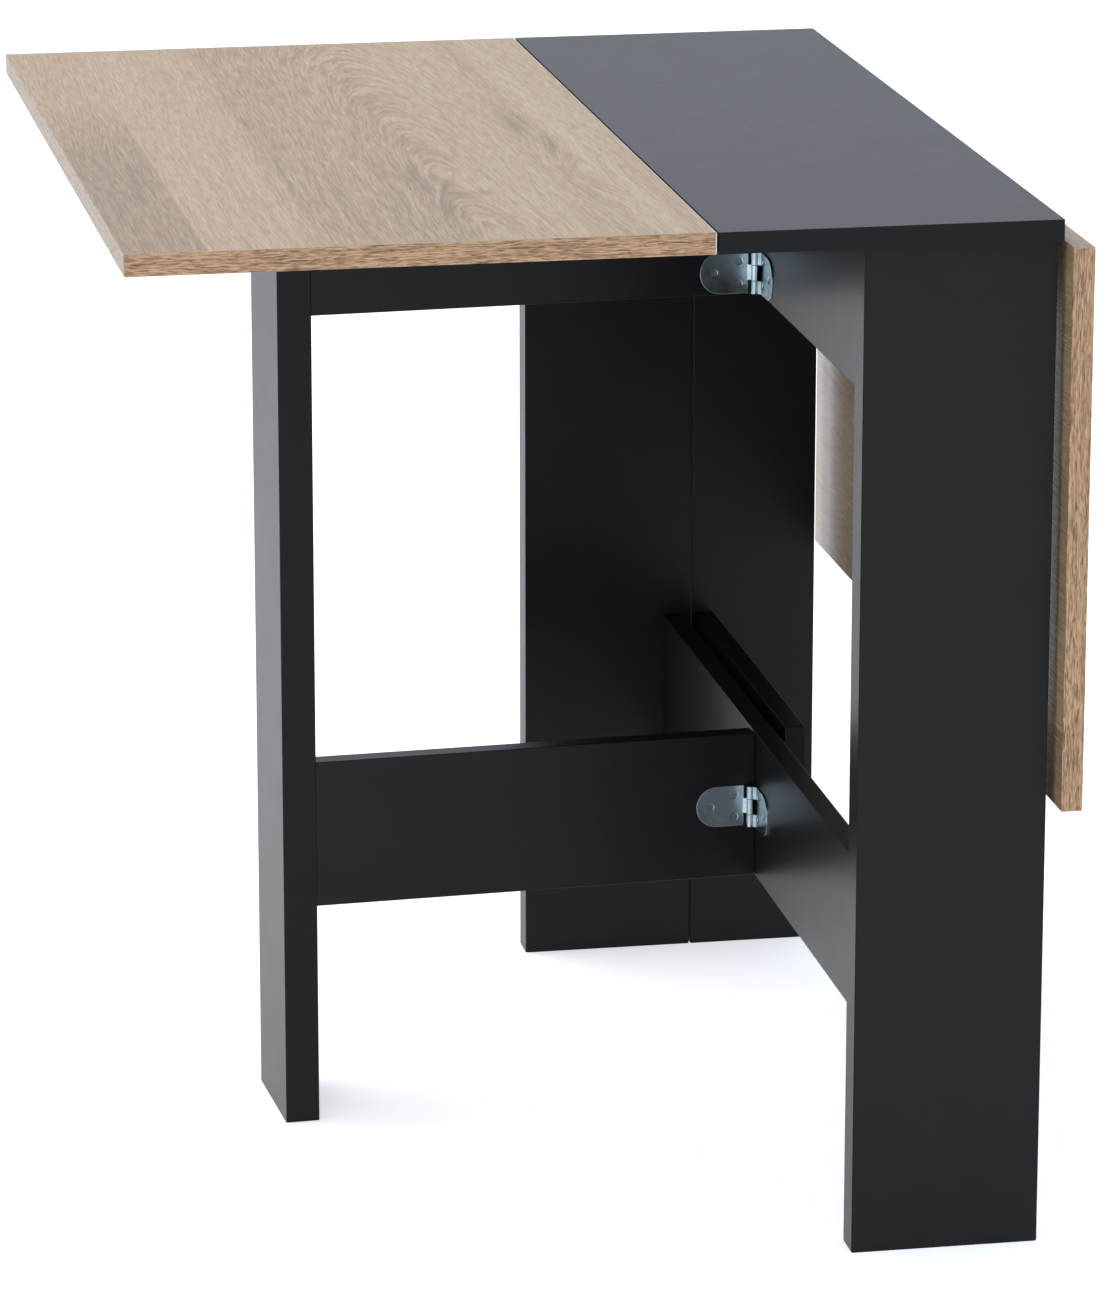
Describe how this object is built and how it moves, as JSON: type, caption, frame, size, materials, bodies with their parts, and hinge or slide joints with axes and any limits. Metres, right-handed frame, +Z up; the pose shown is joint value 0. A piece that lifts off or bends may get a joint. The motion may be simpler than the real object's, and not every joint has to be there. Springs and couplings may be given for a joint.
{
  "type": "gateleg table",
  "caption": "Folding gateleg table: narrow black centre top on two end panels, oak leaves hinged to its sides, and gates that swing out to carry them.",
  "frame": {"origin": "on the floor, under the middle of the overall box of the table as it stands, one leaf raised and one hanging", "axes": "+Z up; +X across the table towards the hanging leaf B, leaf A is raised on -X; +Y along the table, the way its top is longest"},
  "size_m": [0.655, 0.76, 0.734],
  "materials": {
    "black_board": "black melamine faced chipboard, satin",
    "black_top": "black melamine faced chipboard with a fine pore, satin",
    "black_edging": "black edge strip, satin",
    "oak_decor": "oak decor melamine with printed grain, matt",
    "oak_end_edging": "oak decor edge strip, darker brown, matt",
    "oak_side_edging": "light oak decor edge strip, matt",
    "zinc_sheet": "bright bluish zinc plated sheet steel",
    "zinc_screws": "bright zinc plated",
    "steel_pins": "bright steel wire",
    "zinc_cast": "die cast zinc, dull",
    "beech": "plain beech"
  },
  "bodies": {
    "frame": {"beam_edging": "black_edging", "beam_hinge_screws": "zinc_screws", "center_top": "black_top", "center_top_edging": "black_edging", "end_panel_edging": "black_edging", "far_end_panel": "black_board", "frame_cam_bolts": "zinc_cast", "frame_cam_locks": "zinc_cast", "frame_dowels": "beech", "gate_a_lower_hinge_beam_plate": "zinc_sheet", "gate_a_lower_hinge_pin": "steel_pins", "gate_a_upper_hinge_beam_plate": "zinc_sheet", "gate_a_upper_hinge_pin": "steel_pins", "gate_b_lower_hinge_beam_plate": "zinc_sheet", "gate_b_lower_hinge_pin": "steel_pins", "gate_b_upper_hinge_beam_plate": "zinc_sheet", "gate_b_upper_hinge_pin": "steel_pins", "leaf_a_hinge_pins": "steel_pins", "leaf_a_hinge_top_plates": "zinc_sheet", "leaf_b_hinge_pins": "steel_pins", "leaf_b_hinge_top_plates": "zinc_sheet", "lower_beam": "black_board", "near_end_panel": "black_board", "top_hinge_screws": "zinc_screws", "upper_beam": "black_board"},
    "gate_a": {"gate_a_cam_bolts": "zinc_cast", "gate_a_cam_locks": "zinc_cast", "gate_a_dowels": "beech", "gate_a_hinge_screws": "zinc_screws", "gate_a_lower_hinge_rail_plate": "zinc_sheet", "gate_a_lower_rail": "black_board", "gate_a_post": "black_board", "gate_a_post_edging": "black_edging", "gate_a_rail_edging": "black_edging", "gate_a_upper_hinge_rail_plate": "zinc_sheet", "gate_a_upper_rail": "black_board"},
    "gate_b": {"gate_b_cam_bolts": "zinc_cast", "gate_b_cam_locks": "zinc_cast", "gate_b_dowels": "beech", "gate_b_hinge_screws": "zinc_screws", "gate_b_lower_hinge_rail_plate": "zinc_sheet", "gate_b_lower_rail": "black_board", "gate_b_post": "black_board", "gate_b_post_edging": "black_edging", "gate_b_rail_edging": "black_edging", "gate_b_upper_hinge_rail_plate": "zinc_sheet", "gate_b_upper_rail": "black_board"},
    "leaf_a": {"leaf_a_end_edging": "oak_end_edging", "leaf_a_hinge_leaf_plates": "zinc_sheet", "leaf_a_hinge_screws": "zinc_screws", "leaf_a_panel": "oak_decor", "leaf_a_side_edging": "oak_side_edging"},
    "leaf_b": {"leaf_b_end_edging": "oak_end_edging", "leaf_b_hinge_leaf_plates": "zinc_sheet", "leaf_b_hinge_screws": "zinc_screws", "leaf_b_panel": "oak_decor", "leaf_b_side_edging": "oak_side_edging"}
  },
  "joints": [
    {"name": "gate_a_swing", "type": "hinge", "parent": "frame", "child": "gate_a", "pos_m": [0.175, -0.011, 0.221], "axis": [0, 0, 1], "range_deg": [-3, 87]},
    {"name": "gate_b_swing", "type": "hinge", "parent": "frame", "child": "gate_b", "pos_m": [0.2, 0.011, 0.221], "axis": [0, 0, -1], "range_deg": [0, 1.5]},
    {"name": "leaf_a_lift", "type": "hinge", "parent": "frame", "child": "leaf_a", "pos_m": [0.0675, 0, 0.714], "axis": [0, 1, 0], "range_deg": [0, 2.5]},
    {"name": "leaf_b_raise", "type": "hinge", "parent": "frame", "child": "leaf_b", "pos_m": [0.3075, 0, 0.714], "axis": [0, -1, 0], "range_deg": [0, 90]}
  ]
}
